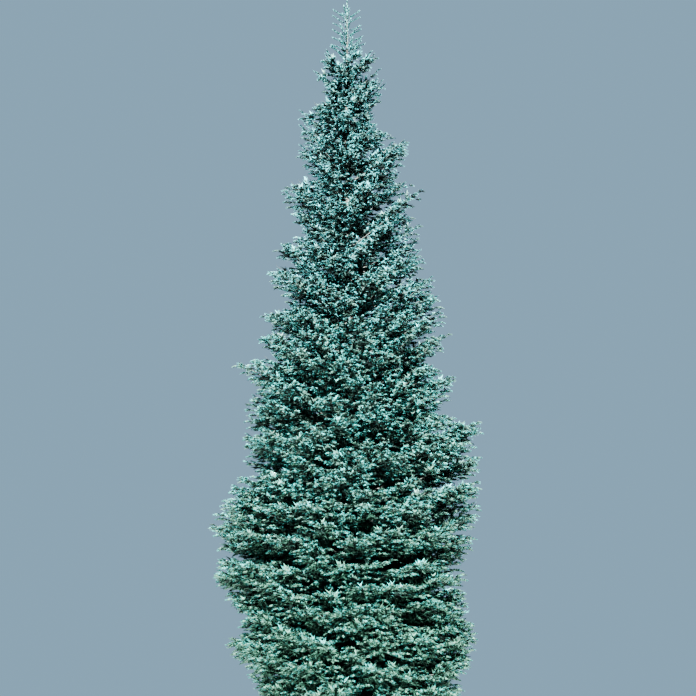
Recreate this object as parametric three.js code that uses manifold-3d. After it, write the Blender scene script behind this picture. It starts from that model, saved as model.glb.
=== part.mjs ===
// Blue spruce: a tall, narrow conifer rooted in the ground, with tiers of boughs round one straight trunk.
// Millimetres, +Z up, +X to the right of the front view. The origin is the middle of the trunk's cut foot.
import * as THREE from "three";
import { mergeVertices } from "three/addons/utils/BufferGeometryUtils.js";
import Module from "manifold-3d";

const wasm = await Module();
wasm.setup();

// Trunk
const treeHeight = 15800;
const trunkRadius = 205; // at the ground, without the flare
const taperPower = 0.92;
const flareRadius = 115; // what the root flare adds at the ground
const flareHeight = 240; // height in which the flare falls to about a third
const flareLobes = 5;
const lobeShare = 0.3; // how far the flare swells and sinks round the trunk
const topLean = -60; // the leader stands this far left of the foot
const sway = 22; // slow bend of the trunk on its way up
const trunkSides = 12;
const trunkRings = 15;
const ringPower = 1.7; // rings crowd towards the flare

// Boughs and tiers
const whorlStart = 600; // height of the lowest whorl of boughs
const whorlSpacing = 440; // one year's growth
const whorlsPerTier = 4; // each solid tier stands for this many whorls
const tierCount = 8;
const boughsPerWhorl = 5;
const topBoughs = 4;
const whorlTurn = 0.382; // each whorl turns on by this share of the angle between boughs
const whorlPhase = 42; // bearing of the lowest whorl's first bough, in degrees
const turnJitter = 7; // degrees
const tiersWithBareBoughs = 3; // higher up the foliage clothes the bough to the trunk
const baseAngles = [-9, 19, 33]; // rise of a bough where it leaves the trunk, low, mid and high, in degrees
const angleHeights = [0, 0.45, 0.95]; // shares of the tree's height where those rises hold
const tipLift = 0.15; // the bough's upward sweep at its tip, as a share of its length
const bareShare = 0.4; // share of a bough that carries no foliage
const boughRadiusShare = 0.0175; // a bough's radius at the trunk for its length
const boughTipShare = 0.62; // of that radius, where the foliage starts
const boughSides = 6;
const boughSteps = 4;
const seatGap = 0.3; // between a limb and what carries it

// Foliage
const stemReach = 0.74; // a mass's stem ends at this share of the bough's length
const stemSides = 3;
const stemSteps = 3;
const stemTipShare = 0.25;
const stemClear = 0.03; // share of the bough's length at the stem's foot that carries no spray
const sprayRows = [-0.78, -0.04, 0.7]; // heights of the sprays' tips in a tier, in half tiers
const lowColumns = [2, 1, 3]; // sprays side by side in each row of a low mass
const highColumns = [2, 1, 2]; // the same for a high one
const topColumns = [1, 1, 1]; // and for one under the leader
const lowTiers = 5; // tiers with the wide low masses
const columnSpread = 0.93; // share of a sector that they spread over
const tipJitter = 0.13;
const twigZone = [0.24, 0.6]; // sprays leave the stem between these shares of the bough's length
const twigShare = 0.6; // radius of a spray's twig for the stem's radius there
const sprayRings = [0.38, 0.58, 0.76]; // places of the pairs of needles between the stem and a spray's tip
const ringSizes = [0.95, 1, 0.7];
const needleSweep = 0.13; // how far needles sweep forward, for the spray's length
const needleShare = 0.15; // how far they stand out
const needleScales = [1, 0.75, 0.5]; // a spray that would leave its mass's space is tried slimmer
const coreShare = 0.04; // radius of the slim core that they stand out of
const sprayRoll = 90; // each spray is turned about its core by up to this many degrees
const spaceMargin = 25; // kept clear at the edges of each mass's own space
const groundClear = 120;
const trunkClear = 45;

// The crown's outline on its left and its right, as [height, reach] pairs from the ground up
const leftOutline = [
  [250, 1600], [700, 1850], [1600, 2500], [2050, 2200], [2980, 2830], [3640, 2660], [4050, 2970],
  [5200, 2190], [6040, 2080], [7450, 2450], [8440, 2000], [9480, 1800], [10480, 1100], [11300, 1490],
  [11920, 1100], [13010, 1040], [13850, 720], [14430, 530], [15310, 330], [15800, 60],
];
const rightOutline = [
  [250, 2150], [1700, 2560], [2720, 2310], [4360, 2660], [6210, 2690], [6680, 2040], [7210, 2220],
  [8760, 2110], [9420, 1990], [9660, 1740], [11210, 1720], [11480, 1130], [12310, 1430], [13170, 770],
  [13620, 920], [14540, 370], [15310, 250], [15800, 60],
];
const outlineBlur = 650; // towards the front and the back the two outlines are averaged over this height
const outlineSamples = 5;
const outlineSide = [0.72, 0.94]; // between these cosines a bearing takes on its side's outline
const settlingRounds = 6; // rounds in which a tip settles on the outline

const barkMaterial = new THREE.MeshStandardMaterial({ color: 0x6f6055, roughness: 0.95, metalness: 0 });
const needleMaterials = [0x6f9c98, 0x5f8e8a, 0x7fa9a4].map(
  (color) => new THREE.MeshStandardMaterial({ color, roughness: 0.75, metalness: 0 }),
);

const { lerp, degToRad, smoothstep, clamp } = THREE.MathUtils;
const tree = new THREE.Group();

// A number from 0 to 1 that is always the same for the same seed
function scatter(seed) {
  const wave = Math.sin(seed * 12.9898) * 43758.5453;
  return wave - Math.floor(wave);
}

// Straight-line reading of [position, value] pairs
function readAlong(pairs, position) {
  const last = pairs.length - 1;
  const next = clamp(pairs.findIndex(([at]) => at >= position), 1, last);
  const at = position >= pairs[last][0] ? last : next;
  const [[a, low], [b, high]] = [pairs[at - 1], pairs[at]];
  return lerp(low, high, clamp((position - a) / (b - a), 0, 1));
}

// How far the crown reaches from the trunk at a height and a bearing
function crownReach(height, bearing) {
  let even = 0;
  for (let i = 0; i < outlineSamples; i++) {
    const at = height + outlineBlur * ((2 * i) / (outlineSamples - 1) - 1);
    even += (readAlong(leftOutline, at) + readAlong(rightOutline, at)) / (2 * outlineSamples);
  }
  const toSide = Math.cos(bearing);
  const side = readAlong(toSide > 0 ? rightOutline : leftOutline, height);
  return lerp(even, side, smoothstep(Math.abs(toSide), ...outlineSide));
}

function trunkAxis(height) {
  const share = height / treeHeight;
  return new THREE.Vector3(
    topLean * share ** 2 + sway * Math.sin(2 * Math.PI * share),
    sway * Math.sin(1.5 * Math.PI * share),
    height,
  );
}

function flareAt(height) {
  return flareRadius * Math.exp(-height / flareHeight);
}

function trunkRadiusAt(height) {
  return trunkRadius * (1 - height / treeHeight) ** taperPower + flareAt(height);
}

// The trunk as a turned profile whose foot swells into root lobes, grown outwards by a clearance
function trunkGeometry(clearance) {
  const profile = [new THREE.Vector2(0, 0)];
  for (let i = 0; i < trunkRings; i++) {
    const height = treeHeight * (i / trunkRings) ** ringPower;
    profile.push(new THREE.Vector2(trunkRadiusAt(height) + clearance, height));
  }
  profile.push(new THREE.Vector2(0, treeHeight + clearance));
  const geometry = new THREE.LatheGeometry(profile, trunkSides).rotateX(Math.PI / 2);
  const position = geometry.getAttribute("position");
  const point = new THREE.Vector3();
  for (let i = 0; i < position.count; i++) {
    point.fromBufferAttribute(position, i);
    const radius = Math.hypot(point.x, point.y);
    const lobe = lobeShare * flareAt(point.z) * Math.cos(flareLobes * Math.atan2(point.y, point.x));
    const axis = trunkAxis(point.z);
    const grown = radius > 0 ? (radius + lobe) / radius : 0;
    position.setXYZ(i, axis.x + point.x * grown, axis.y + point.y * grown, point.z);
  }
  return geometry;
}

function toSolid(geometry) {
  const bare = new THREE.BufferGeometry().setAttribute("position", geometry.getAttribute("position").clone());
  if (geometry.index) bare.setIndex(geometry.index.clone());
  const merged = mergeVertices(bare, 1e-3);
  const kept = [];
  for (let i = 0; i < merged.index.count; i += 3) {
    const face = [0, 1, 2].map((corner) => merged.index.getX(i + corner));
    if (new Set(face).size === 3) kept.push(...face);
  }
  return new wasm.Manifold(
    new wasm.Mesh({
      numProp: 3,
      vertProperties: new Float32Array(merged.getAttribute("position").array),
      triVerts: new Uint32Array(kept),
    }),
  );
}

// The largest body of a solid, as a named mesh: loose scraps and sealed hollows are left out
function addPart(name, solid, material) {
  const bodies = solid.decompose();
  const main = bodies.reduce((a, b) => (b.volume() > a.volume() ? b : a));
  const { vertProperties, triVerts } = main.getMesh();
  const geometry = new THREE.BufferGeometry();
  geometry.setAttribute("position", new THREE.BufferAttribute(new Float32Array(vertProperties), 3));
  geometry.setIndex(new THREE.BufferAttribute(new Uint32Array(triVerts), 1));
  geometry.computeVertexNormals();
  const mesh = new THREE.Mesh(geometry, material.clone());
  mesh.name = name;
  tree.add(mesh);
}

// A round limb that tapers along part of a curve
function limbAlong(curve, from, to, startRadius, endRadius, sides, steps) {
  const geometry = new THREE.CylinderGeometry(1, 1, 1, sides, steps);
  const position = geometry.getAttribute("position");
  const vertical = new THREE.Vector3(0, 0, 1);
  for (let i = 0; i < position.count; i++) {
    const along = position.getY(i) + 0.5;
    const share = lerp(from, to, along);
    const tangent = curve.getTangent(share);
    const across = new THREE.Vector3().crossVectors(tangent, vertical).normalize();
    const upward = new THREE.Vector3().crossVectors(across, tangent);
    const radius = lerp(startRadius, endRadius, along);
    const point = curve
      .getPoint(share)
      .addScaledVector(across, position.getX(i) * radius)
      .addScaledVector(upward, position.getZ(i) * radius);
    position.setXYZ(i, point.x, point.y, point.z);
  }
  return geometry;
}

// A spray of needles along X: a twig that swells to a slim core, with pairs of needles that cross one another
function sprayGeometry(length, twigRadius, needleScale) {
  const rings = sprayRings.length + 1;
  const geometry = new THREE.SphereGeometry(1, 4, rings + 1).rotateZ(-Math.PI / 2);
  const position = geometry.getAttribute("position");
  for (let i = 0; i < position.count; i++) {
    const turn = Math.acos(clamp(position.getX(i), -1, 1)) / Math.PI;
    const ring = rings - Math.round(turn * (rings + 1));
    const angle = Math.atan2(position.getZ(i), position.getY(i));
    const needle = Math.abs(Math.round((2 * angle) / Math.PI) + ring) % 2 === 1;
    let along = 0;
    let radius = twigRadius;
    if (ring < 0) [along, radius] = [-twigRadius / length, 0];
    else if (ring === rings) [along, radius] = [1, 0];
    else if (ring > 0) {
      along = sprayRings[ring - 1] + (needle ? needleSweep : 0);
      radius = length * ringSizes[ring - 1] * (needle ? needleScale * needleShare : coreShare);
    }
    position.setXYZ(i, along * length, radius * Math.cos(angle), radius * Math.sin(angle));
  }
  return geometry;
}

function baseAngle(height) {
  const pairs = angleHeights.map((share, i) => [share * treeHeight, baseAngles[i]]);
  return degToRad(readAlong(pairs, height));
}

// Height of a bough's middle line at a distance from the trunk
function boughHeight(start, distance, length) {
  return start + distance * Math.tan(baseAngle(start)) + (tipLift * distance ** 2) / length;
}

// A bough ends where its tip meets the crown's outline
function boughLength(start, bearing) {
  let length = crownReach(start, bearing);
  for (let i = 0; i < settlingRounds; i++) length = crownReach(boughHeight(start, length, length), bearing);
  return length;
}

function evenLength(start) {
  return (boughLength(start, Math.PI / 2) + boughLength(start, -Math.PI / 2)) / 2;
}

// The middle line of a bough, whose height is a square law of the distance
function boughCurve(start, bearing, length) {
  const foot = trunkAxis(start);
  const out = (distance, height) =>
    new THREE.Vector3(foot.x + distance * Math.cos(bearing), foot.y + distance * Math.sin(bearing), height);
  const middle = start + (length / 2) * Math.tan(baseAngle(start));
  return new THREE.QuadraticBezierCurve3(
    foot,
    out(length / 2, middle),
    out(length, boughHeight(start, length, length)),
  );
}

// The tiers of foliage from the ground up, then a small one under the leader
const tiers = [];
for (let tier = 0; tier <= tierCount; tier++) {
  const whorl = tier * whorlsPerTier;
  const start = whorlStart + whorl * whorlSpacing;
  const count = tier < tierCount ? boughsPerWhorl : topBoughs;
  const step = (2 * Math.PI) / count;
  const bearings = Array.from({ length: count }, (_, i) => {
    const jitter = degToRad(turnJitter) * (2 * scatter(whorl * 31 + i * 7 + 1) - 1);
    return degToRad(whorlPhase) + (i + whorlTurn * whorl) * step + jitter;
  });
  tiers.push({ whorl, start, count, bearings, length: evenLength(start) });
}

// The height where a tier's space meets the next one's, at a distance from the trunk
function tierBorder(tier, distance) {
  const [low, high] = [tiers[tier], tiers[tier + 1]];
  if (!low) return groundClear - spaceMargin;
  if (!high) return treeHeight;
  const heights = [low, high].map(({ start, length }) => boughHeight(start, distance, length));
  return (heights[0] + heights[1]) / 2;
}

// Whether a point lies in the space that belongs to one mass of foliage
function inSpace(point, tier, index) {
  const { bearings, count } = tiers[tier];
  const axis = trunkAxis(point.z);
  const distance = Math.hypot(point.x - axis.x, point.y - axis.y);
  if (distance < trunkRadiusAt(point.z) + trunkClear) return false;
  const bearing = Math.atan2(point.y - axis.y, point.x - axis.x);
  if (distance > crownReach(point.z, bearing) + spaceMargin) return false;
  if (point.z < groundClear) return false;
  if (point.z < tierBorder(tier - 1, distance) + spaceMargin) return false;
  if (point.z > tierBorder(tier, distance) - spaceMargin) return false;
  const before = index > 0 ? bearings[index - 1] : bearings[count - 1] - 2 * Math.PI;
  const after = index < count - 1 ? bearings[index + 1] : bearings[0] + 2 * Math.PI;
  const own = bearings[index];
  const offset = Math.atan2(Math.sin(bearing - own), Math.cos(bearing - own));
  const toBefore = offset - (before - own) / 2;
  const toAfter = (after - own) / 2 - offset;
  return distance * Math.sin(Math.min(toBefore, toAfter)) > spaceMargin;
}

// A frame whose X axis points along a direction
function frameAlong(origin, direction) {
  const across = new THREE.Vector3(-direction.y, direction.x, 0).normalize();
  const upward = new THREE.Vector3().crossVectors(direction, across);
  return new THREE.Matrix4().makeBasis(direction, across, upward).setPosition(origin);
}

function fitsSpace(geometry, tier, index) {
  const position = geometry.getAttribute("position");
  const corner = new THREE.Vector3();
  for (let i = 0; i < position.count; i++) {
    if (!inSpace(corner.fromBufferAttribute(position, i), tier, index)) return false;
  }
  return true;
}

// One spray, or nothing where it would leave the mass's space
function spraySolid(mass, row, column, seed) {
  const { tier, index, start, bearing, length, curve, from, stemRadius } = mass;
  const { count, length: tierLength } = tiers[tier];
  const jitter = (n) => tipJitter * (2 * scatter(seed + n) - 1);
  const turned = bearing + ((column + jitter(1)) * Math.PI) / count;
  const lifted = ((row + jitter(2)) * whorlsPerTier * whorlSpacing) / 2;

  // The tip stands on the crown's outline, above or below the tier's own surface
  let reach = length;
  for (let i = 0; i < settlingRounds; i++) {
    reach = crownReach(boughHeight(start, reach, tierLength) + lifted, turned);
  }
  const foot = trunkAxis(start);
  const tip = new THREE.Vector3(
    foot.x + reach * Math.cos(turned),
    foot.y + reach * Math.sin(turned),
    boughHeight(start, reach, tierLength) + lifted,
  );
  const share = Math.max(lerp(...twigZone, scatter(seed + 3)), from + stemClear);
  const root = curve.getPoint(share);
  const way = tip.clone().sub(root);
  const sprayLength = way.length();
  const twigRadius = twigShare * stemRadius * lerp(1, stemTipShare, (share - from) / (stemReach - from));
  const place = frameAlong(root, way.normalize()).multiply(
    new THREE.Matrix4().makeRotationX(degToRad(sprayRoll) * scatter(seed + 4)),
  );
  for (const needleScale of needleScales) {
    const spray = sprayGeometry(sprayLength, twigRadius, needleScale).applyMatrix4(place);
    if (fitsSpace(spray, tier, index)) return toSolid(spray);
  }
  return null;
}

const clearTrunk = toSolid(trunkGeometry(seatGap));
addPart("trunk", toSolid(trunkGeometry(0)), barkMaterial);

tiers.forEach(({ whorl, start, bearings }, tier) => {
  bearings.forEach((bearing, index) => {
    const label = tier < tierCount ? `tier${tier + 1}_${index + 1}` : `top_${index + 1}`;
    const length = boughLength(start, bearing);
    const curve = boughCurve(start, bearing, length);
    const startRadius = length * boughRadiusShare;
    const bareRadius = startRadius * boughTipShare;
    const bare = tier < tiersWithBareBoughs;
    if (bare) {
      const bough = limbAlong(curve, 0, bareShare, startRadius, bareRadius, boughSides, boughSteps);
      addPart(`bough_${label}`, toSolid(bough).subtract(clearTrunk), barkMaterial);
    }

    const from = bare ? bareShare + seatGap / curve.getLength() : 0;
    const stemRadius = bare ? bareRadius : startRadius;
    const mass = { tier, index, start, bearing, length, curve, from, stemRadius };
    const stemTip = stemRadius * stemTipShare;
    let solid = toSolid(limbAlong(curve, from, stemReach, stemRadius, stemTip, stemSides, stemSteps));
    const highOrTop = tier < tierCount ? highColumns : topColumns;
    const columnCounts = tier < lowTiers ? lowColumns : highOrTop;
    columnCounts.forEach((columns, r) => {
      for (let c = 0; c < columns; c++) {
        const column = columnSpread * ((2 * c + 1) / columns - 1);
        const seed = whorl * 97 + index * 13 + r * 3 + c;
        const spray = spraySolid(mass, sprayRows[r], column, seed);
        if (spray) solid = solid.add(spray);
      }
    });
    if (!bare) solid = solid.subtract(clearTrunk);
    addPart(`foliage_${label}`, solid, needleMaterials[(tier + index) % needleMaterials.length]);
  });
});

export default tree;
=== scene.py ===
import math

import bmesh
import bpy
import numpy as np
from mathutils import Matrix, Vector, noise


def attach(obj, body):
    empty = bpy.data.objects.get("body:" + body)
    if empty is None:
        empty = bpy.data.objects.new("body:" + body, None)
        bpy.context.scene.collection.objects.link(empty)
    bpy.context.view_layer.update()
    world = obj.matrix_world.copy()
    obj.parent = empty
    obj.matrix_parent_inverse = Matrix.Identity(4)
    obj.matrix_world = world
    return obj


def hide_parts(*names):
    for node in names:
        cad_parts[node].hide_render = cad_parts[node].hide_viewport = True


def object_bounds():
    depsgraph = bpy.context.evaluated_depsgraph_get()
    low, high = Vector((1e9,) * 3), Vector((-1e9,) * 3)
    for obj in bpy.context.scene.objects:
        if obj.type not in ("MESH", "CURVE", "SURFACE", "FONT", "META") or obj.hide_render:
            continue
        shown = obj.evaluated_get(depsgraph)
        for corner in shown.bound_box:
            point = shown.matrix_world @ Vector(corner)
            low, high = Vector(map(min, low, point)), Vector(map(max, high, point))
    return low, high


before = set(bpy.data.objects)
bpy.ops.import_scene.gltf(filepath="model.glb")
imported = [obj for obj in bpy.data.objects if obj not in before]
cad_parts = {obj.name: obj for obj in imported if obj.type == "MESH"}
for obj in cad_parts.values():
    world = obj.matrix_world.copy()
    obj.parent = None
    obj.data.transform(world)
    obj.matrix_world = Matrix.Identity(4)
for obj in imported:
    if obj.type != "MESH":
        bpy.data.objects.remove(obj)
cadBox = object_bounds()
trunkNodes = ["trunk"]
boughNodes = sorted(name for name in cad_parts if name.startswith("bough"))
foliageNodes = sorted(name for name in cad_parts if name.startswith("foliage"))
chance = np.random.default_rng(41)
print("frame:", len(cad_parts), "solids,", len(foliageNodes), "of them foliage")

camera = {  # the photographed outline is carried to every depth from here
    "eye": (-0.04, -34, 1.6),
    "pitch": 10.318,
    "lens": 84.381,
    "farthest": 500,
}

# The tree's rule of growth, as in the part's source, in metres and degrees
trunk = {
    "height": 15.8,
    "radius": 0.205,  # above the root flare
    "taperPower": 0.92,
    "flareRadius": 0.115,
    "flareHeight": 0.24,
    "flareLobes": 5,  # roots that swell the foot
    "lobeShare": 0.3,
    "topLean": -0.06,
    "sway": 0.022,
    "sides": 56,
    "rings": 300,
    "scaleSize": 0.045,  # width of a bark scale
    "scaleStretch": 0.55,  # scales are longer than wide
    "scaleRelief": 0.012,
    "reliefLimit": 0.6,  # scales are flat on top, this far from their cracks
    "reliefMean": 0.4,  # taken off again, so that the trunk keeps its girth
}

crown = {
    "left": [  # height and reach of the crown's edge
        (0.25, 1.6), (0.7, 1.85), (1.6, 2.5), (2.05, 2.2), (2.98, 2.83), (3.64, 2.66), (4.05, 2.97),
        (5.2, 2.19), (6.04, 2.2), (6.59, 2.2), (7.45, 2.5), (8.44, 2.02), (9.48, 1.82), (10.48, 1.1),
        (11.3, 1.55), (11.92, 1.1), (13.01, 1.06), (13.85, 0.72), (14.43, 0.44), (14.6, 0.3),
        (14.9, 0.33), (15.36, 0.33), (15.5, 0.16), (15.8, 0.05),
    ],
    "right": [
        (0.25, 2.15), (1.7, 2.56), (2.72, 2.31), (4.36, 2.66), (6.21, 2.72), (6.68, 2.16), (7.21, 2.22),
        (7.8, 2.06), (8.14, 2.16), (8.76, 2.06), (9.42, 1.96), (9.66, 1.7), (11.21, 1.74), (11.48, 1.13),
        (12.31, 1.4), (13.17, 0.77), (13.62, 0.84), (14.0, 0.76), (14.38, 0.54), (14.58, 0.36),
        (15.36, 0.28), (15.5, 0.16), (15.8, 0.05),
    ],
    "leftGaps": [  # where sky bites into the edge
        (6.93, 1.86), (7.62, 1.5), (7.95, 2.1), (8.14, 1.5), (8.66, 1.22), (9.3, 1.72), (9.55, 1.0),
        (9.8, 1.54), (10.06, 1.54), (10.3, 0.9), (10.76, 1.4), (11.1, 1.4), (11.5, 0.62), (12.6, 1.12),
        (13.28, 0.36),
    ],
    "rightGaps": [
        (6.4, 1.74), (7.5, 1.5), (9.0, 1.7), (9.85, 1.46), (10.5, 1.6), (10.76, 1.15), (10.94, 1.5),
        (12.6, 0.66), (13.1, 0.46), (13.8, 0.66),
    ],
    "hollows": [  # dark recesses seen from the front: x, height, half width, half height
        (-0.84, 6.33, 0.36, 0.28), (1.71, 3.47, 0.28, 0.2), (0.75, 2.95, 0.3, 0.1), (0.49, 10.0, 0.24, 0.14),
        (1.62, 5.03, 0.32, 0.14), (1.86, 4.13, 0.24, 0.18), (0.71, 1.24, 0.36, 0.12), (-1.5, 5.3, 0.18, 0.32),
    ],
    "hollowDepth": 0.4,
    "edgeTurn": 0.2,  # least cosine of a bearing, where an edge is carried round to the front
    "blur": 0.65,  # the front and back follow the mean of both edges, smoothed
    "blurSamples": 5,
    "sideShare": (0.72, 0.94),  # where the mean gives way to a photographed edge
    "settlingRounds": 6,
    "boxMargin": (0.115, 0.11),  # how far shoots may stand past the solids, in x and y
    "groundClear": 0.2,
}

bough = {
    "whorlStart": 0.6,
    "whorlSpacing": 0.44,  # one year's growth
    "whorls": 34,
    "perWhorl": 5,
    "topWhorl": 32,
    "topCount": 4,
    "whorlTurn": 0.382,
    "phase": 42,
    "turnJitter": 7,
    "riseHeights": (0, 0.45, 0.95),
    "riseAngles": (-9, 19, 33),
    "tipLift": 0.15,
    "betweenFrom": 0.3,
    "betweenTo": 14.5,
    "between": 3.2,  # more boughs to a whorl, for each metre of the crown's reach
    "betweenExtra": 1.1,
    "gainHeights": (4, 7, 10),
    "gains": (1.7, 1, 0.8),  # the crown is denser low down
    "betweenAhead": 0.5,  # boughs rise, so their number follows the crown this far above
    "betweenReach": (0.84, 1.0),
    "inner": 1.2,  # short boughs that fill the crown, for each metre of reach
    "innerReach": (0.5, 0.72),
    "betweenTurn": 137.508,  # spreads them evenly around the trunk
    "betweenTilt": 5,
    "edgeLowest": 0.45,
    "edgeJitter": 0.15,
    "leaderFrom": 14.42,
    "leaderSpacing": 0.155,
    "leaderSteps": 6,
    "leaderCount": 4,
    "leaderTilt": (-26, -8),
    "leaderJitter": 25,
    "leaderStray": 0.03,
    "leaderReach": (0.85, 1.0),
    "simpleLength": 0.4,  # a bough under this length is one shoot without twigs
    "shortest": 0.4,  # share of its length that a bough keeps where the crown is narrow
    "fitSteps": 25,
    "tipHeights": (2.0, 9.0),
    "tipLengths": (0.12, 0.2),  # the curved shoot that ends a bough, low down and high up
    "tipSizes": (0.8, 1.15),
    "tipFrom": 0.97,
    "tipCurve": 0.2,
    "tipTaper": 0.7,
    "wander": 0.05,
    "radiusShare": 0.0175,
    "tipRadius": 0.004,
    "sides": 5,
    "steps": 8,
    "knots": 0.16,
}


def edgeReach(edge, height):
    heights, reaches = zip(*crown[edge])
    return np.interp(height, heights, reaches)


def seenEdge(edge, height):
    heights, reaches = zip(*sorted(crown[edge] + crown[edge + "Gaps"]))
    return np.interp(height, heights, reaches)


def crownReach(height, bearing):
    height = np.asarray(height, float)
    offsets = np.linspace(-crown["blur"], crown["blur"], crown["blurSamples"])
    even = sum(edgeReach("left", height + o) + edgeReach("right", height + o) for o in offsets)
    even = even / (2 * len(offsets))
    across = np.cos(bearing)
    side = np.where(across > 0, edgeReach("right", height), edgeReach("left", height))
    low, high = crown["sideShare"]
    share = np.clip((np.abs(across) - low) / (high - low), 0, 1)
    return even + (side - even) * share * share * (3 - 2 * share)


def trunkAxis(height):
    share = np.asarray(height, float) / trunk["height"]
    x = trunk["topLean"] * share**2 + trunk["sway"] * np.sin(2 * np.pi * share)
    y = trunk["sway"] * np.sin(1.5 * np.pi * share)
    return np.stack([x, y, np.asarray(height, float)], axis=-1)


def flareAt(height):
    return trunk["flareRadius"] * math.exp(-height / trunk["flareHeight"])


def trunkRadius(height):
    taper = max(1 - height / trunk["height"], 0) ** trunk["taperPower"]
    return trunk["radius"] * taper + flareAt(height)


def riseAngle(height):
    angles = np.interp(np.asarray(height) / trunk["height"], bough["riseHeights"], bough["riseAngles"])
    return np.radians(angles)


def scatter(seed):  # a number from 0 to 1, the same for the same seed
    value = math.sin(seed * 12.9898) * 43758.5453
    return value - math.floor(value)


def unit(vectors):
    return vectors / np.linalg.norm(vectors, axis=-1, keepdims=True)


def crossFrame(heading):  # measured from a line that no limb runs along
    side = unit(np.cross((0.013, 0.007, 1), heading))
    return side, np.cross(heading, side)


def deal(counts):  # owner of each small thing and its place along the owner
    owner = np.repeat(np.arange(len(counts)), counts)
    place = np.arange(len(owner)) - np.repeat(np.cumsum(counts) - counts, counts)
    return owner, place


def limbAt(limbs, owner, t):
    t = t[:, None]
    point = limbs["foot"][owner] + limbs["run"][owner] * t + limbs["bend"][owner] * t**2
    return point, unit(limbs["run"][owner] + 2 * limbs["bend"][owner] * t)


def pickLimbs(limbs, mask):
    return {key: value[mask] for key, value in limbs.items()}


def joinLimbs(*parts):
    return {key: np.concatenate([part[key] for part in parts]) for key in parts[-1]}


def reachShare(points):  # distance from the trunk, and how far the crown goes there
    away = points[:, :2] - trunkAxis(points[:, 2])[:, :2]
    bearing = np.arctan2(away[:, 1], away[:, 0])
    nearer = 1 + points[:, 1] / -camera["eye"][1]  # the photographed edge, carried to this depth
    seen = camera["eye"][2] + (points[:, 2] - camera["eye"][2]) / nearer
    edge = np.where(away[:, 0] > 0, seenEdge("right", seen), seenEdge("left", seen)) * nearer
    edge = edge / np.maximum(np.abs(np.cos(bearing)), crown["edgeTurn"])
    limit = np.minimum(crownReach(points[:, 2], bearing), edge)
    for x, height, wide, high in crown["hollows"]:
        inside = np.exp(-(((points[:, 0] / nearer - x) / wide) ** 2) - ((seen - height) / high) ** 2)
        limit = limit * (1 - crown["hollowDepth"] * inside * (away[:, 1] < 0))
    return np.linalg.norm(away, axis=1), limit


def whorlBoughs():
    rows = []
    for whorl in range(bough["whorls"]):
        start = bough["whorlStart"] + whorl * bough["whorlSpacing"]
        count = bough["topCount"] if whorl >= bough["topWhorl"] else bough["perWhorl"]
        for i in range(count):
            turn = (i + bough["whorlTurn"] * whorl) * 360 / count
            turn += bough["turnJitter"] * (2 * scatter(whorl * 31 + i * 7 + 1) - 1)
            rows.append((start, math.radians(bough["phase"] + turn), 1.0, 0.0))
    return rows


def betweenBoughs():
    rows = []
    fills = (bough["between"], bough["betweenReach"]), (bough["inner"], bough["innerReach"])
    for amount, spread in fills:
        start = bough["betweenFrom"]
        while start < bough["betweenTo"]:
            turn = len(rows) * bough["betweenTurn"] + chance.uniform(-1, 1) * bough["turnJitter"]
            turn = math.radians(turn)
            tilt = math.radians(chance.uniform(-1, 1) * bough["betweenTilt"])
            share = chance.uniform(*spread)
            if amount == bough["between"] and abs(math.cos(turn)) > crown["sideShare"][1]:
                share = 1.0  # these draw the photographed edges
            rows.append((start, turn, share, tilt))
            reach = float(crownReach(start + bough["betweenAhead"], math.pi / 2))
            here = amount * (reach + bough["betweenExtra"])
            gain = np.interp(start, bough["gainHeights"], bough["gains"])
            start += bough["whorlSpacing"] / (here * gain)
    return rows


def edgeBoughs():  # one bough for each tip that stands out of the photographed outline
    rows = []
    for edge, bearing in (("left", math.pi), ("right", 0.0)):
        points = crown[edge]
        for before, (height, reach), after in zip(points, points[1:], points[2:]):
            if reach > before[1] and reach > after[1]:
                start = height
                for _ in range(crown["settlingRounds"]):
                    start = height - reach * (math.tan(riseAngle(start)) + bough["tipLift"])
                turn = bearing + chance.uniform(-bough["edgeJitter"], bough["edgeJitter"])
                rows.append((max(start, bough["edgeLowest"]), turn, 1.0, 0.0))
    return rows


def leaderBoughs():  # single shoots that stand off the leader
    rows = []
    for step in range(bough["leaderSteps"]):
        start = bough["leaderFrom"] + step * bough["leaderSpacing"]
        tilt = math.radians(np.interp(step, (0, bough["leaderSteps"] - 1), bough["leaderTilt"]))
        for i in range(bough["leaderCount"]):
            turn = i * 360 / bough["leaderCount"] + chance.uniform(-1, 1) * bough["leaderJitter"]
            height = start + chance.uniform(-bough["leaderStray"], bough["leaderStray"])
            rows.append((height, math.radians(turn), chance.uniform(*bough["leaderReach"]), tilt))
    return rows


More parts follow.
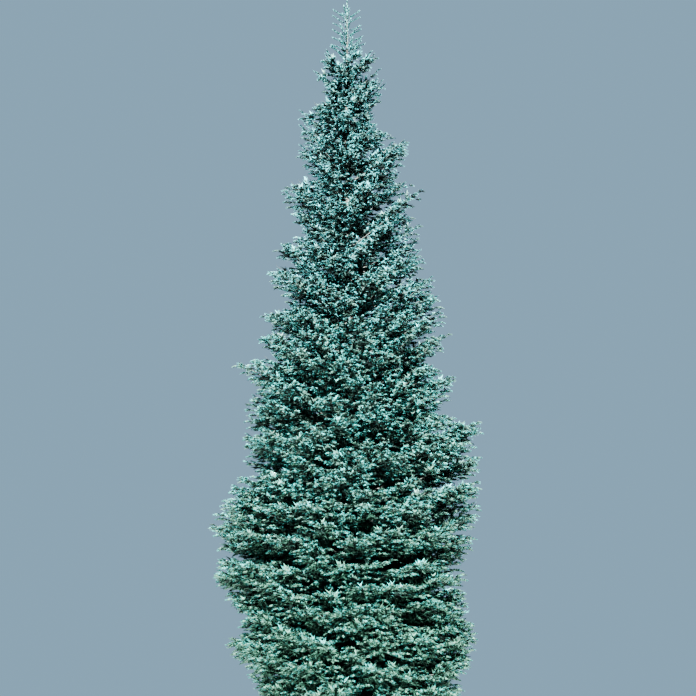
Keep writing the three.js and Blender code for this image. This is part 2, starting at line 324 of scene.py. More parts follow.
def growBoughs():
    rows = whorlBoughs() + betweenBoughs() + edgeBoughs() + leaderBoughs()
    start, bearing, share, tilt = np.array(rows).T
    slope = np.tan(riseAngle(start) + tilt)
    length = np.full(len(start), 1.0)
    for _ in range(crown["settlingRounds"]):
        length = share * crownReach(start + length * (slope + bough["tipLift"]), bearing)
    out = np.stack([np.cos(bearing), np.sin(bearing), slope], axis=-1)
    across = np.stack([-np.sin(bearing), np.cos(bearing), np.zeros(len(start))], axis=-1)
    wander = (chance.uniform(-1, 1, len(start)) * bough["wander"])[:, None] * across
    grown = {
        "foot": trunkAxis(start),
        "run": (out - wander) * length[:, None],
        "bend": (wander + np.array((0, 0, bough["tipLift"]))) * length[:, None],
        "share": share,
    }
    room = np.interp(start, bough["tipHeights"], bough["tipLengths"]) * np.minimum(length, 1)
    fit = np.full(len(start), bough["shortest"])  # a bough and its last shoot end where the crown does
    for t in np.linspace(bough["shortest"], 1, bough["fitSteps"]):
        points, _ = limbAt(grown, np.arange(len(start)), np.full(len(start), t))
        away, limit = reachShare(points)
        fit = np.where(away <= limit - room, t, fit)
    grown["run"] = grown["run"] * fit[:, None]
    grown["bend"] = grown["bend"] * fit[:, None] ** 2
    grown["length"] = length * fit
    grown["thick"] = grown["length"] * bough["radiusShare"]
    grown["thin"] = np.full(len(start), bough["tipRadius"])
    return grown


def growTips(limbs):  # the shoots that end the boughs, curved up
    owner = np.arange(len(limbs["length"]))
    foot, heading = limbAt(limbs, owner, np.full(len(owner), bough["tipFrom"]))
    size = np.interp(foot[:, 2], bough["tipHeights"], bough["tipLengths"])
    size = size * chance.uniform(*bough["tipSizes"], len(owner))
    return {
        "foot": foot,
        "run": heading * size[:, None],
        "bend": np.array((0, 0, bough["tipCurve"])) * size[:, None],
        "thick": np.full(len(owner), bough["tipRadius"]),
        "thin": np.full(len(owner), bough["tipRadius"] * bough["tipTaper"]),
        "length": size,
    }


boughs = growBoughs()
isSingle = boughs["length"] <= bough["simpleLength"]
branched = pickLimbs(boughs, ~isSingle)
single = pickLimbs(boughs, isSingle)
tips = growTips(branched)
print("boughs:", len(boughs["length"]), "with", len(tips["length"]), "curved tips")

twig = {
    "spacing": 0.1,
    "leafyLength": (0.33, 0.4),  # leafy outer part of a bough: fixed length and share of the bough
    "leafyShare": 0.9,  # and the most of a bough that is leafy
    "leastCount": 2,
    "places": (0.2, 0.8),  # where in its own stretch of the bough a twig stands
    "fork": (42, 58),
    "heights": (0, 0.3, 1),  # of the tree's height, for the values in threes
    "sideShare": (0.52, 0.68, 0.86),  # most twigs lie to the sides, some stand up, few hang
    "upShare": (0.33, 0.18, 0.08),
    "sideRoll": (62, 112),
    "upRoll": (20, 55),
    "downRoll": (125, 160),
    "upLengths": (0.85, 0.5, 0.35),
    "downLengths": (0.95, 0.75, 0.6),
    "levels": (0.9, 0.4, 0.2),  # share of the rise that a twig keeps
    "width": 0.27,
    "widthPower": 0.9,
    "tipWidth": 0.2,
    "taper": 0.6,
    "sizes": (0.8, 1.15),
    "forward": 0.22,
    "lift": 0.02,
    "reachExtra": 0.04,  # share of the crown's reach that twigs may go past a short bough's own
    "leastRoom": 0.25,  # shortest share of a twig at the crown's edge, and near the ground
    "leastDrop": 0.1,
    "radius": 0.0055,
    "tipRadius": 0.003,
    "sides": 3,
    "steps": 2,
}


def growTwigs():
    length = branched["length"]
    leafy = twig["leafyLength"][0] + twig["leafyLength"][1] * length
    leafy = np.minimum(leafy, twig["leafyShare"] * length)
    owner, place = deal(np.maximum(np.round(leafy / twig["spacing"]), twig["leastCount"]).astype(int))
    count = np.bincount(owner)[owner]
    total = len(owner)
    s = (place + chance.uniform(*twig["places"], total)) / count  # 0 where needles begin, 1 at the tip
    t = 1 - (leafy / length)[owner] * (1 - s)
    foot, heading = limbAt(branched, owner, t)
    side, up = crossFrame(heading)
    kind = chance.uniform(0, 1, total)
    level = foot[:, 2] / trunk["height"]
    sideShare = np.interp(level, twig["heights"], twig["sideShare"])
    roll = chance.uniform(*twig["downRoll"], total)
    size = np.interp(level, twig["heights"], twig["downLengths"])
    upright = kind < sideShare + np.interp(level, twig["heights"], twig["upShare"])
    roll[upright] = chance.uniform(*twig["upRoll"], upright.sum())
    size[upright] = np.interp(level[upright], twig["heights"], twig["upLengths"])
    sideways = kind < sideShare
    roll[sideways] = chance.uniform(*twig["sideRoll"], sideways.sum())
    size[sideways] = 1
    roll = np.radians(roll) * np.where(place % 2, 1, -1)
    fork = np.radians(chance.uniform(*twig["fork"], total))[:, None]
    out = np.sin(roll)[:, None] * side + np.cos(roll)[:, None] * up
    out = np.cos(fork) * heading + np.sin(fork) * out
    out[:, 2] *= np.interp(level, twig["heights"], twig["levels"])
    wide = twig["width"] * length[owner] ** twig["widthPower"] * (1 - s) ** twig["taper"]
    reach = (wide + twig["tipWidth"] * np.minimum(length[owner], 1)) * size
    reach = reach * chance.uniform(*twig["sizes"], total)
    bend = twig["forward"] * heading + twig["lift"] * np.array((0, 0, 1))
    tip = foot + (out + bend) * reach[:, None]
    away, limit = reachShare(foot)
    tipAway, tipLimit = reachShare(tip)
    limit = np.minimum(limit, tipLimit) * np.minimum(branched["share"][owner] + twig["reachExtra"], 1.0)
    room = (limit - away) / np.maximum(tipAway - away, 1e-6)
    reach = reach * np.where(tipAway > limit, np.clip(room, twig["leastRoom"], 1), 1)
    drop = np.minimum((out + bend)[:, 2] * reach, -1e-6)
    reach = reach * np.clip((crown["groundClear"] - foot[:, 2]) / drop, twig["leastDrop"], 1)
    return {
        "foot": foot,
        "run": out * reach[:, None],
        "bend": bend * reach[:, None],
        "thick": np.full(total, twig["radius"]),
        "thin": np.full(total, twig["tipRadius"]),
        "length": reach,
    }


twigs = growTwigs()
print("twigs:", len(twigs["length"]))

shoot = {
    "spacing": 0.105,
    "length": (0.07, 0.115),
    "tipLength": (0.1, 0.14),  # the shoot that ends a twig
    "tipFrom": 0.96,
    "places": (0.35, 0.85),  # where in its own stretch of the twig a shoot stands
    "fork": (38, 74),
    "roll": (20, 140),  # from the twig's upper side
    "outward": 0.1,
    "stray": 0.15,
    "flat": 0.3,  # shoots lie flatter than they fork
    "cladSpacing": 0.17,  # needles that clothe the twig itself
    "cladFrom": 0.15,
    "cladPlaces": (0.2, 0.6),
    "cladFlat": 0.4,
    "cladStray": 0.14,
    "cladDepth": 0.3,  # how far back the needles' tint is set, here and below: darker for older needles further in, partly as painted shade
    "boughCladSpacing": 0.11,
    "simpleSpacing": 0.045,
    "simpleFrom": 0.1,
    "simpleGirth": 0.55,
    "simpleDepth": -0.1,
    "endDepth": -0.05,  # on the curved shoots that end the boughs
    "leaderBelow": 0.3,  # shoots this far under the leader's own already look like them
    "leaderGirth": 0.64,
    "leaderFlat": 1,
    "leaderStray": 0.04,
    "leaderDepth": -0.5,
    "trunkCladFrom": 13.4,
    "trunkCladSpacing": 0.06,
    "trunkCladSplay": 0.12,
    "trunkCladClear": 0.14,
    "past": 0.08,  # how far a shoot may stand out of the crown's edge
    "scaleHeights": (1, 6, 11),
    "scales": (1.32, 1.17, 1.06),  # sprays low down are stouter
    "sizes": (0.08, 0.105, 0.13),  # modelled lengths
    "needles": (13, 15, 17),
    "variants": 2,
    "shadedSize": 0.1,  # shoots deep in the crown have fewer, larger needles
    "shadedNeedles": 8,
    "shadedScale": 1.5,
    "shadedBelow": 0.4,
    "needleLength": 0.047,  # larger than life, as there are fewer of them
    "needleVary": (0.82, 0.36),  # least share of that length, and what chance adds
    "needleShorter": 0.3,  # towards the shoot's tip
    "needleWidth": 0.0175,
    "triangle": (1.732, 1.5),  # width and height of a triangle with a radius of 1
    "needleFrom": 0.04,
    "needleSpan": 0.93,
    "needleTurn": 0.618,  # spreads the needles evenly around the shoot
    "variantTurn": 0.37,
    "curve": -0.2,  # a shoot's tip hangs this share of its length below its foot's line
    "needleRoll": 25,
    "brush": 160,  # needles stand this far to both sides of the upper side
    "brushRoll": 0.25,
    "breadth": (1.16, 0.82),  # a shoot is broader than high, as most needles stand to its sides
    "roundness": 2.2,
    "ownNormal": 0.6,  # share of a needle's own facing in its shading
    "topLight": 0.7,  # shading leans down, so that a shoot's upper side is bright and its lower side dark
    "lean": (58, 32),  # from the shoot's foot to its tip
    "leanJitter": 14,
    "core": 0.027,  # the stem with the short needles close to it, at its thickest
    "coreBulge": 0.55,
    "innerFrom": 0.45,
    "innerHeights": (1, 6),
    "innerCounts": (30, 12),  # for each metre of bough
    "innerSpan": (0.1, 0.93),
    "innerSplay": 1.1,
    "innerSize": 1.6,
    "innerDepth": 0.5,
}


def newShoots(foot, heading, lengths, depth, girth=1, curve=0, spray=-1):
    total = len(foot)
    return {
        "spray": np.zeros(total, int) + spray,  # the twig that bears it
        "foot": foot,
        "heading": unit(heading),
        "length": chance.uniform(*lengths, total),
        "depth": np.full(total, float(depth)),
        "girth": np.full(total, float(girth)),
        "curve": np.full(total, float(curve)),
        "scale": np.interp(foot[:, 2], shoot["scaleHeights"], shoot["scales"]),
    }


def sideShoots():
    owner, place = deal(np.maximum(np.round(twigs["length"] / shoot["spacing"]), 1).astype(int))
    total = len(owner)
    count = np.bincount(owner)[owner]
    t = (place + chance.uniform(*shoot["places"], total)) / count
    foot, heading = limbAt(twigs, owner, t)
    side, up = crossFrame(heading)
    roll = np.radians(chance.uniform(*shoot["roll"], total) * np.where(place % 2, 1, -1))
    fork = np.radians(chance.uniform(*shoot["fork"], total))[:, None]
    out = np.sin(roll)[:, None] * side + np.cos(roll)[:, None] * up
    out = np.cos(fork) * heading + np.sin(fork) * out
    out = out + shoot["outward"] * unit(foot - trunkAxis(foot[:, 2]))
    out = (out + chance.normal(0, shoot["stray"], (total, 3))) * np.array((1, 1, shoot["flat"]))
    return newShoots(foot, out, shoot["length"], 0, 1, shoot["curve"], owner)


def cladShoots(limbs, spacing, first, depth, girth=1, isTwig=False,
               flat=shoot["cladFlat"], stray=shoot["cladStray"]):
    first = np.zeros(len(limbs["length"])) + first
    counts = np.round(limbs["length"] * (1 - first) / spacing).astype(int)
    owner, place = deal(counts)
    share = (place + chance.uniform(*shoot["cladPlaces"], len(owner))) / np.maximum(counts[owner], 1)
    foot, heading = limbAt(limbs, owner, first[owner] + (1 - first[owner]) * share)
    heading = (heading + chance.normal(0, stray, heading.shape)) * np.array((1, 1, flat))
    return newShoots(foot, heading, shoot["length"], depth, girth, 0, owner if isTwig else -1)


def tipShoots():
    owner = np.arange(len(twigs["length"]))
    foot, heading = limbAt(twigs, owner, np.full(len(owner), shoot["tipFrom"]))
    heading = heading * np.array((1, 1, shoot["flat"]))
    return newShoots(foot, heading, shoot["tipLength"], 0, 1, shoot["curve"], owner)


def leaderShoots():
    top = trunk["height"] - shoot["trunkCladClear"]
    heights = np.arange(shoot["trunkCladFrom"], top, shoot["trunkCladSpacing"])
    foot = np.repeat(trunkAxis(heights), 2, axis=0)
    turn = chance.uniform(0, 2 * np.pi, len(foot))
    around = np.stack([np.cos(turn), np.sin(turn), 0 * turn], axis=-1)
    heading = shoot["trunkCladSplay"] * around + np.array((0, 0, 1))
    return newShoots(foot, heading, shoot["length"], shoot["leaderDepth"], shoot["simpleGirth"])


def innerShoots():  # older sprays that close the crown behind the leafy tips, tinted darker: partly older needles, partly painted shade
    limbs = pickLimbs(boughs, boughs["length"] > shoot["innerFrom"])
    amount = np.interp(limbs["foot"][:, 2], shoot["innerHeights"], shoot["innerCounts"])
    owner, _ = deal(np.round(amount * limbs["length"]).astype(int))
    foot, heading = limbAt(limbs, owner, chance.uniform(*shoot["innerSpan"], len(owner)))
    side, up = crossFrame(heading)
    roll = chance.uniform(0, 2 * np.pi, len(owner))[:, None]
    heading = heading + shoot["innerSplay"] * (np.sin(roll) * side + np.cos(roll) * up)
    return newShoots(foot, heading, shoot["length"], shoot["innerDepth"])


def growShoots():
    leafy = twig["leafyLength"][0] / branched["length"] + twig["leafyLength"][1]
    leafy = np.minimum(leafy, twig["leafyShare"])
    isLeader = single["foot"][:, 2] > bough["leaderFrom"] - shoot["leaderBelow"]
    leaders = pickLimbs(single, isLeader)
    short = pickLimbs(single, ~isLeader)
    close = shoot["simpleSpacing"]
    shoots = joinLimbs(
        sideShoots(),
        cladShoots(twigs, shoot["cladSpacing"], shoot["cladFrom"], shoot["cladDepth"], isTwig=True),
        cladShoots(branched, shoot["boughCladSpacing"], 1 - leafy, shoot["cladDepth"]),
        cladShoots(leaders, close, shoot["simpleFrom"], shoot["leaderDepth"], shoot["leaderGirth"],
                   flat=shoot["leaderFlat"], stray=shoot["leaderStray"]),
        cladShoots(short, close, shoot["simpleFrom"], shoot["simpleDepth"], shoot["simpleGirth"]),
        cladShoots(tips, close, 0, shoot["endDepth"], shoot["simpleGirth"]),
        tipShoots(),
        leaderShoots(),
        innerShoots(),
    )
    tip = shoots["foot"] + shoots["heading"] * (shoots["length"] * shoots["scale"])[:, None]
    away, limit = reachShare(tip)
    low = np.array(cadBox[0]) - (*crown["boxMargin"], 0)
    high = np.array(cadBox[1]) + (*crown["boxMargin"], 0)
    keep = (away < limit + shoot["past"]) & (tip[:, 2] < trunk["height"])
    keep &= np.minimum(tip[:, 2], shoots["foot"][:, 2]) > crown["groundClear"]
    keep &= np.all((tip[:, :2] > low[:2]) & (tip[:, :2] < high[:2]), axis=1)
    return pickLimbs(shoots, keep)


shoots = growShoots()
print("shoots:", len(shoots["length"]))


def meshArrays(bm):
    bmesh.ops.triangulate(bm, faces=bm.faces[:])
    bm.verts.index_update()
    points = np.array([vertex.co[:] for vertex in bm.verts])
    faces = np.array([[vertex.index for vertex in face.verts] for face in bm.faces])
    bm.free()
    return points, faces


def stemShape(length):
    bm = bmesh.new()
    bulge = length * shoot["coreBulge"]
    for radii, low, high in (((0, shoot["core"]), 0, bulge), ((shoot["core"], 0), bulge, length)):
        middle = Matrix.Translation((0, 0, (low + high) / 2))
        bmesh.ops.create_cone(bm, segments=3, radius1=radii[0], radius2=radii[1], depth=high - low,
                              matrix=middle)
    bmesh.ops.remove_doubles(bm, verts=bm.verts[:], dist=1e-5)
    bm.normal_update()
    normals = np.array([vertex.normal[:] for vertex in bm.verts])
    return *meshArrays(bm), normals


def needleShape(length, count, variant, scale):
    bm = bmesh.new()
    least, more = shoot["needleVary"]
    wide, high = shoot["triangle"]
    normals = []  # the needles of a shoot catch the light as one rounded brush
    for i in range(count):
        share = (i + 0.5) / count
        size = scale * shoot["needleLength"] * (least + more * scatter(i * 3 + variant * 17))
        size *= 1 - shoot["needleShorter"] * share**3
        lean = shoot["lean"][0] + (shoot["lean"][1] - shoot["lean"][0]) * share
        lean += shoot["leanJitter"] * (scatter(i * 5 + variant * 29) - 0.5)
        turn = (i * shoot["needleTurn"] + variant * shoot["variantTurn"]) % 1
        turn = shoot["brush"] * (2 * turn - 1)
        outline = Matrix.Diagonal((scale * shoot["needleWidth"] / wide, size / high, 1, 1))
        outline = outline @ Matrix.Translation((0, 0.5, 0))
        roll = shoot["needleRoll"] * (2 * scatter(i * 7 + variant) - 1)
        roll = Matrix.Rotation(math.radians(roll), 4, "Y")
        stand = Matrix.Rotation(math.radians(90 - lean), 4, "X")
        around = Matrix.Rotation(math.radians(turn), 4, "Z")
        place = length * (shoot["needleFrom"] + shoot["needleSpan"] * share)
        place = Matrix.Translation((0, 0, place))
        matrix = place @ around @ stand @ roll @ outline
        corners = bmesh.ops.create_circle(bm, cap_ends=True, segments=3, radius=1, matrix=matrix)["verts"]
        face = corners[0].link_faces[0]
        face.normal_update()
        outward = (around @ Vector((0, 1, shoot["roundness"] * share**2))).normalized()
        if face.normal.dot(outward) < 0:
            face.normal_flip()
            face.normal_update()
        facing = (outward + shoot["ownNormal"] * face.normal).normalized()
        normals += [facing[:]] * 3
    return *meshArrays(bm), np.array(normals)


def limbShape(sides, steps):
    bm = bmesh.new()
    bmesh.ops.create_circle(bm, cap_ends=True, segments=sides, radius=1)
    edges = bm.edges[:]
    for _ in range(steps):
        made = bmesh.ops.extrude_edge_only(bm, edges=edges)["geom"]
        ring = [item for item in made if isinstance(item, bmesh.types.BMVert)]
        edges = [item for item in made if isinstance(item, bmesh.types.BMEdge)]
        edges = [edge for edge in edges if edge.verts[0] in ring and edge.verts[1] in ring]
        bmesh.ops.translate(bm, verts=ring, vec=(0, 0, 1 / steps))
    bmesh.ops.pointmerge(bm, verts=ring, merge_co=(0, 0, 1))
    bmesh.ops.recalc_face_normals(bm, faces=bm.faces[:])
    return meshArrays(bm)


def joinCopies(verts, faces):
    steps = np.arange(len(verts))[:, None, None] * verts.shape[1]
    return verts.reshape(-1, 3), (faces[None] + steps).reshape(-1, 3)


def sweepLimbs(limbs, sides, steps, relief):
    points, faces = limbShape(sides, steps)
    t = points[:, 2][None, :, None]
    centre = limbs["foot"][:, None] + limbs["run"][:, None] * t + limbs["bend"][:, None] * t**2
    side, up = crossFrame(unit(limbs["run"][:, None] + 2 * limbs["bend"][:, None] * t))
    radius = limbs["thick"][:, None] + (limbs["thin"] - limbs["thick"])[:, None] * points[:, 2]
    radius = radius * (1 + relief * chance.uniform(-1, 1, radius.shape))
    around = points[:, 0][None, :, None] * side + points[:, 1][None, :, None] * up
    return joinCopies(centre + radius[..., None] * around, faces)


def makePiece(name, verts, faces, material, slot, nodes, normals=None):
    mesh = bpy.data.meshes.new(name)
    mesh.vertices.add(len(verts))
    mesh.vertices.foreach_set("co", verts.astype(np.float32).ravel())
    mesh.loops.add(faces.size)
    mesh.loops.foreach_set("vertex_index", faces.astype(np.int32).ravel())
    mesh.polygons.add(len(faces))
    mesh.polygons.foreach_set("loop_start", np.arange(0, faces.size, 3, dtype=np.int32))
    mesh.update(calc_edges=True)
    if normals is not None:
        mesh.normals_split_custom_set_from_vertices(normals.astype(np.float32))
    mesh.materials.append(material)
    piece = bpy.data.objects.new(name, mesh)
    bpy.context.scene.collection.objects.link(piece)
    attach(piece, "root")
    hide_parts(*nodes)
    print(name + ":", len(faces), "triangles")


def linear(code):
    parts = [int(code[i:i + 2], 16) / 255 for i in (1, 3, 5)]
    return (*[p / 12.92 if p <= 0.04045 else ((p + 0.055) / 1.055) ** 2.4 for p in parts], 1)


def addNode(material, kind, inputs, **settings):
    node = material.node_tree.nodes.new(kind)
    for key, value in settings.items():
        setattr(node, key, value)
    for key, value in inputs.items():
        if isinstance(value, bpy.types.NodeSocket):
            material.node_tree.links.new(value, node.inputs[key])
        else:
            node.inputs[key].default_value = value
    return node


def newMaterial(name):
    material = bpy.data.materials.new(name)
    material.use_nodes = True
    return material, material.node_tree.nodes["Principled BSDF"]


bark = {
    "plates": ("#575952", "#787b73"),
    "cracks": "#2a2826",
    "crackShare": 0.16,  # from the middle of a crack to the plate, as a share of a scale
    "crackDepth": 0.006,
    "weatherSize": 0.2,  # grey patches on the plates
    "young": ("#383a36", "#6c706a"),
    "blotchSize": 0.05,
    "ridgeDepth": 0.003,
    "twig": "#464b46",
}


# Spruce bark, grown in thin scales: grey plates with dark cracks between them, dry and matt
def scalyBark():
    material, shader = newMaterial("sprucebark_scaly")
    place = addNode(material, "ShaderNodeTexCoord", {}).outputs["Object"]
    place = addNode(material, "ShaderNodeMapping",
                    {"Vector": place, "Scale": (1, 1, trunk["scaleStretch"])}).outputs[0]
    scales = addNode(material, "ShaderNodeTexVoronoi", {"Vector": place, "Scale": 1 / trunk["scaleSize"]},
                     feature="DISTANCE_TO_EDGE").outputs["Distance"]
    weather = addNode(material, "ShaderNodeTexNoise",
                      {"Vector": place, "Scale": 1 / bark["weatherSize"], "Detail": 6}).outputs[0]
    crack = addNode(material, "ShaderNodeMapRange",
                    {"Value": scales, "From Max": bark["crackShare"]}).outputs[0]
    dark, pale = [linear(code) for code in bark["plates"]]
    # A colour mix has its share at 0, its colours at 6 and 7, and gives the result at 2
    plate = addNode(material, "ShaderNodeMix", {0: weather, 6: dark, 7: pale}, data_type="RGBA").outputs[2]
    tone = addNode(material, "ShaderNodeMix", {0: crack, 6: linear(bark["cracks"]), 7: plate},
                   data_type="RGBA").outputs[2]
    bump = addNode(material, "ShaderNodeBump",
                   {"Height": crack, "Strength": 0.6, "Distance": bark["crackDepth"]}).outputs[0]
    material.node_tree.links.new(tone, shader.inputs["Base Color"])
    material.node_tree.links.new(bump, shader.inputs["Normal"])
    shader.inputs["Roughness"].default_value = 0.88
    return material


# Young spruce bark, stretched as it grows: grey-brown rind that is blotched and finely ridged
def youngBark():
    material, shader = newMaterial("sprucebark_young")
    place = addNode(material, "ShaderNodeTexCoord", {}).outputs["Object"]
    blotch = addNode(material, "ShaderNodeTexNoise",
                     {"Vector": place, "Scale": 1 / bark["blotchSize"], "Detail": 4}).outputs[0]
    dark, pale = [linear(code) for code in bark["young"]]
    tone = addNode(material, "ShaderNodeMix", {0: blotch, 6: dark, 7: pale}, data_type="RGBA").outputs[2]
    bump = addNode(material, "ShaderNodeBump",
                   {"Height": blotch, "Strength": 0.4, "Distance": bark["ridgeDepth"]}).outputs[0]
    material.node_tree.links.new(tone, shader.inputs["Base Color"])
    material.node_tree.links.new(bump, shader.inputs["Normal"])
    shader.inputs["Roughness"].default_value = 0.8
    return material


# Rind of this year's twigs, thin and even: dull grey-brown that stays behind the needles
def twigRind():
    material, shader = newMaterial("sprucetwig_rind")
    shader.inputs["Base Color"].default_value = linear(bark["twig"])
    shader.inputs["Roughness"].default_value = 0.75
    return material


# Spruce needles under a bloom of wax: matt, pale and bluish on this year's shoots, greener and darker further
# in, where the darker tints are partly painted shade
def waxyNeedles(name, code):
    material, shader = newMaterial(name)
    shader.inputs["Base Color"].default_value = linear(code)
    shader.inputs["Roughness"].default_value = 0.65
    shader.inputs["IOR"].default_value = 1.45
    return material


def makeTrunk():
    bm = bmesh.new()
    bmesh.ops.create_circle(bm, cap_ends=True, segments=trunk["sides"], radius=1)
    edges = bm.edges[:]
    rise = trunk["height"] / trunk["rings"]
    for ring in range(trunk["rings"]):
        made = bmesh.ops.extrude_edge_only(bm, edges=edges)["geom"]
        verts = [item for item in made if isinstance(item, bmesh.types.BMVert)]
        edges = [item for item in made if isinstance(item, bmesh.types.BMEdge)]
        edges = [edge for edge in edges if abs(edge.verts[0].co.z - edge.verts[1].co.z) < 1e-6]
        bmesh.ops.translate(bm, verts=verts, vec=(0, 0, rise))
        edges = [edge for edge in edges if edge.verts[0].co.z > (ring + 0.5) * rise]
    bmesh.ops.pointmerge(bm, verts=verts, merge_co=(0, 0, trunk["height"]))
    for vertex in bm.verts:
        x, y, z = vertex.co
        if x == 0 and y == 0:
            vertex.co = trunkAxis(z)
            continue
        angle = math.atan2(y, x)
        radius = trunkRadius(z) + trunk["lobeShare"] * flareAt(z) * math.cos(trunk["flareLobes"] * angle)
        spot = Vector((x * radius, y * radius, z * trunk["scaleStretch"])) / trunk["scaleSize"]
        near = noise.voronoi(spot)[0]
        thick = min(radius / trunk["radius"], 1)  # thin bark is smoother
        relief = trunk["scaleRelief"] * min(near[1] - near[0], trunk["reliefLimit"]) * thick
        radius += relief - trunk["scaleRelief"] * trunk["reliefMean"] * thick
        middle = trunkAxis(z)
        vertex.co = (middle[0] + x * radius, middle[1] + y * radius, z)
    bmesh.ops.recalc_face_normals(bm, faces=bm.faces[:])
    return meshArrays(bm)


makePiece("trunk_bark", *makeTrunk(), scalyBark(), "bark", trunkNodes)
makePiece("boughs_bark", *sweepLimbs(boughs, bough["sides"], bough["steps"], bough["knots"]),
          youngBark(), "bark", boughNodes)
makePiece("twigs_bark", *sweepLimbs(joinLimbs(twigs, tips), twig["sides"], twig["steps"], 0),
          twigRind(), "bark", foliageNodes)

tints = {
    # low tints lean green and high ones blue; low down the dark tints are also lighter and the pale ones
    # darker than higher up, painted light that fills the shade between the lower layers and dims their lit
    # tops
    "low": {"deep": "#315547", "shaded": "#4b6b5c", "green": "#466f60",
            "blue": "#397a74", "silver": "#3a857f"},
    "middle": {"deep": "#1a332d", "shaded": "#3f5a50", "green": "#628a7f",
               "blue": "#53a29e", "silver": "#5fb9b4"},
    "high": {"deep": "#0e2220", "shaded": "#324943", "green": "#5f8680",
             "blue": "#5ea4a6", "silver": "#6ebfc0"},
    "stems": (0, 0, 1, 1, 2),  # a shoot's stem is darker than its needles: painted shade inside the shoot
    "limits": (0.1, 0.22, 0.38, 0.69),
    "zones": (3.8, 8.2),  # heights where low tints give way to middle ones, and these to high ones
    "zoneBlend": 1.2,
    "open": 0.04,  # what the tint follows: how open the shoot stands towards the light, which darkens hidden shoots as painted shade, how far it points up, which pales upward shoots as painted top light, its height and chance
    "paintedTopLight": 0.4,
    "height": 0.1,
    "spray": 0.24,
    "chance": 0.48,
    # needles set back into the crown get darker tints, partly as older needles and partly as painted shade
    "depth": 0.8,
    "lightRise": 0.9,  # open shoots look outwards and this much upwards
    "cell": 0.1,  # neighbours are counted in cells of this size
    "steps": 5,
    "crowd": 7,  # neighbours between a shoot and the light that darken its needles' tint, as painted shade
}


# how freely a shoot's tip sees the light past its neighbours: it darkens the tints of hidden shoots as
# painted shade, and gives them the coarser kind of shoot
def openness():
    tip = shoots["foot"] + shoots["heading"] * shoots["length"][:, None]
    low = tip.min(axis=0) - 1
    size = ((tip.max(axis=0) + 1 - low) / tints["cell"]).astype(int) + 1
    crowd = np.zeros(size)
    np.add.at(crowd, tuple(((tip - low) / tints["cell"]).astype(int).T), 1)
    away = tip - trunkAxis(tip[:, 2])
    toLight = unit(unit(away + 1e-6) + (0, 0, tints["lightRise"]))
    near = np.zeros(len(tip))
    for step in range(1, tints["steps"] + 1):
        spot = tip + toLight * step * tints["cell"]
        near += crowd[tuple(((spot - low) / tints["cell"]).astype(int).T)]
    return np.exp(-near / tints["crowd"])


def placeShoots(shape, length, pick, axes):
    points, faces, normals = shape
    isInner = shoots["depth"][pick] == shoot["innerDepth"]
    size = shoots["length"][pick] / length * np.where(isInner, shoot["innerSize"], 1)
    size = size * shoots["scale"][pick]
    copies = np.einsum("pi,kij->kpj", points, axes[pick] * size[:, None, None])
    sag = axes[pick][:, 1] * (shoots["curve"][pick] * size)[:, None]
    copies = copies + sag[:, None] * (points[:, 2] ** 2 / length)[None, :, None]
    turned = np.einsum("pi,kij->kpj", normals, axes[pick]) - np.array((0, 0, shoot["topLight"]))
    return *joinCopies(shoots["foot"][pick][:, None] + copies, faces), unit(turned.reshape(-1, 3))


def joinMeshes(parts):
    firsts = np.cumsum([0] + [len(verts) for verts, faces, normals in parts])
    faces = np.concatenate([part[1] + first for part, first in zip(parts, firsts)])
    return np.concatenate([part[0] for part in parts]), faces, np.concatenate([part[2] for part in parts])


def makeNeedles():
    kinds = [(length, count, 1) for length, count in zip(shoot["sizes"], shoot["needles"])]
    kinds.append((shoot["shadedSize"], shoot["shadedNeedles"], shoot["shadedScale"]))
    total = len(shoots["length"])
    middles = (np.array(shoot["sizes"])[1:] + np.array(shoot["sizes"])[:-1]) / 2
    light = openness()
    shaded = (light < shoot["shadedBelow"]) | (shoots["depth"] > 0)
    kind = np.where(shaded, len(kinds) - 1, np.searchsorted(middles, shoots["length"]))
    variant = chance.integers(0, shoot["variants"], total)
    roll = chance.normal(0, shoot["brushRoll"], total)[:, None]
    side, up = crossFrame(shoots["heading"])
    side, up = np.cos(roll) * side + np.sin(roll) * up, np.cos(roll) * up - np.sin(roll) * side
    girth = shoots["girth"][:, None]
    broad, high = shoot["breadth"]
    axes = np.stack([side * girth * broad, up * girth * high, shoots["heading"]], axis=1)
    height = shoots["foot"][:, 2]
    # the open term is painted shade: shoots hidden from the light get darker tints
    value = tints["open"] * light + tints["height"] * height / trunk["height"]
    sprayTone = np.append(chance.uniform(0, tints["spray"], len(twigs["length"])), tints["spray"] / 2)
    value = value + sprayTone[shoots["spray"]] + chance.uniform(0, tints["chance"], total)
    # painted top light: shoots that point up get paler tints and those that point down darker ones
    value = value + tints["paintedTopLight"] * shoots["heading"][:, 2] - tints["depth"] * shoots["depth"]
    tint = np.searchsorted(tints["limits"], value)
    level = np.searchsorted(tints["zones"], height + chance.normal(0, tints["zoneBlend"], total))
    for place, zone in enumerate(("low", "middle", "high")):
        for number, (name, code) in enumerate(tints[zone].items()):
            parts = []
            for n, (length, count, scale) in enumerate(kinds):
                here = (level == place) & (kind == n)
                for v in range(shoot["variants"]):
                    pick = here & (tint == number) & (variant == v)
                    parts.append(placeShoots(needleShape(length, count, v, scale), length, pick, axes))
                pick = here & (np.array(tints["stems"])[tint] == number)
                parts.append(placeShoots(stemShape(length), length, pick, axes))
            verts, faces, normals = joinMeshes(parts)
            material = waxyNeedles("spruceneedles_waxed_" + name + "_" + zone, code)
            makePiece("needles_" + name + "_" + zone, verts, faces, material, "needles", foliageNodes,
                      normals)


makeNeedles()

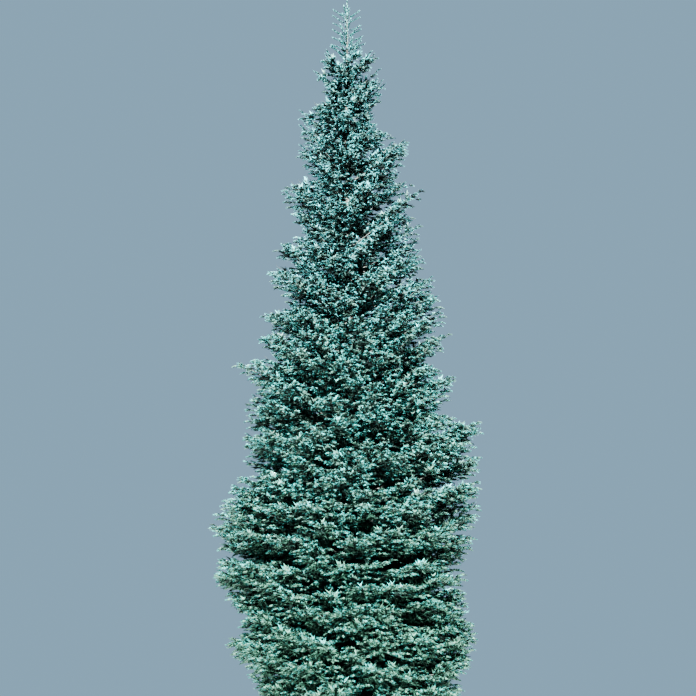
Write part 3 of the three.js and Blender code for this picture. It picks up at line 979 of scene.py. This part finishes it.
stage = {
    "floorRadius": 14,
    "floorSides": 96,
    "floor": "#eceae6",
    "sky": "#a9cae0",
    "skyToCamera": 0.28,  # how bright the sky looks
    "skyLight": 0.17,  # how much it lights the tree
    "suns": {  # strength, the side that the light comes from, and its spread in degrees
        "key": (12.3, (0.04, -0.95, 0.47), 2),
        "fill": (1.5, (-0.8, -0.5, 0.35), 40),
        "back": (3.0, (0.1, 0.9, 0.45), 60),
    },
    "transform": "AgX",
    "look": "AgX - High Contrast",
    "exposure": 1.06,
}


# Matt paper, pressed smooth: an even pale ground without gloss
def makeStage():
    bm = bmesh.new()
    bmesh.ops.create_circle(bm, cap_ends=True, segments=stage["floorSides"], radius=stage["floorRadius"])
    mesh = bpy.data.meshes.new("floor")
    bm.to_mesh(mesh)
    bm.free()
    material, shader = newMaterial("floor_paper_matt")
    shader.inputs["Base Color"].default_value = linear(stage["floor"])
    shader.inputs["Roughness"].default_value = 0.9
    mesh.materials.append(material)
    floor = bpy.data.objects.new("floor", mesh)
    bpy.context.scene.collection.objects.link(floor)


def addSun(name, strength, come, spread):
    light = bpy.data.lights.new(name, "SUN")
    light.energy = strength
    light.angle = math.radians(spread)
    lamp = bpy.data.objects.new(name, light)
    lamp.rotation_euler = Vector(come).to_track_quat("Z", "Y").to_euler()
    bpy.context.scene.collection.objects.link(lamp)


def makeWorld():
    world = bpy.data.worlds.new("studio")
    world.use_nodes = True
    bpy.context.scene.world = world
    sky = world.node_tree.nodes["Background"]
    sky.inputs["Color"].default_value = linear(stage["sky"])
    seen = addNode(world, "ShaderNodeLightPath", {}).outputs["Is Camera Ray"]
    strength = addNode(world, "ShaderNodeMapRange",
                       {"Value": seen, "To Min": stage["skyLight"], "To Max": stage["skyToCamera"]})
    world.node_tree.links.new(strength.outputs[0], sky.inputs["Strength"])


makeStage()
for name, sun in stage["suns"].items():
    addSun(name, *sun)
makeWorld()
bpy.context.scene.view_settings.view_transform = stage["transform"]
bpy.context.scene.view_settings.look = stage["look"]
bpy.context.scene.view_settings.exposure = stage["exposure"]

eye = bpy.data.objects.new("camera", bpy.data.cameras.new("camera"))
eye.location = camera["eye"]
eye.rotation_euler = (math.radians(90 + camera["pitch"]), 0, 0)
eye.data.lens = camera["lens"]
eye.data.clip_end = camera["farthest"]
bpy.context.scene.collection.objects.link(eye)
bpy.context.scene.camera = eye
print("stage, light and camera set")

bpy.context.view_layer.update()
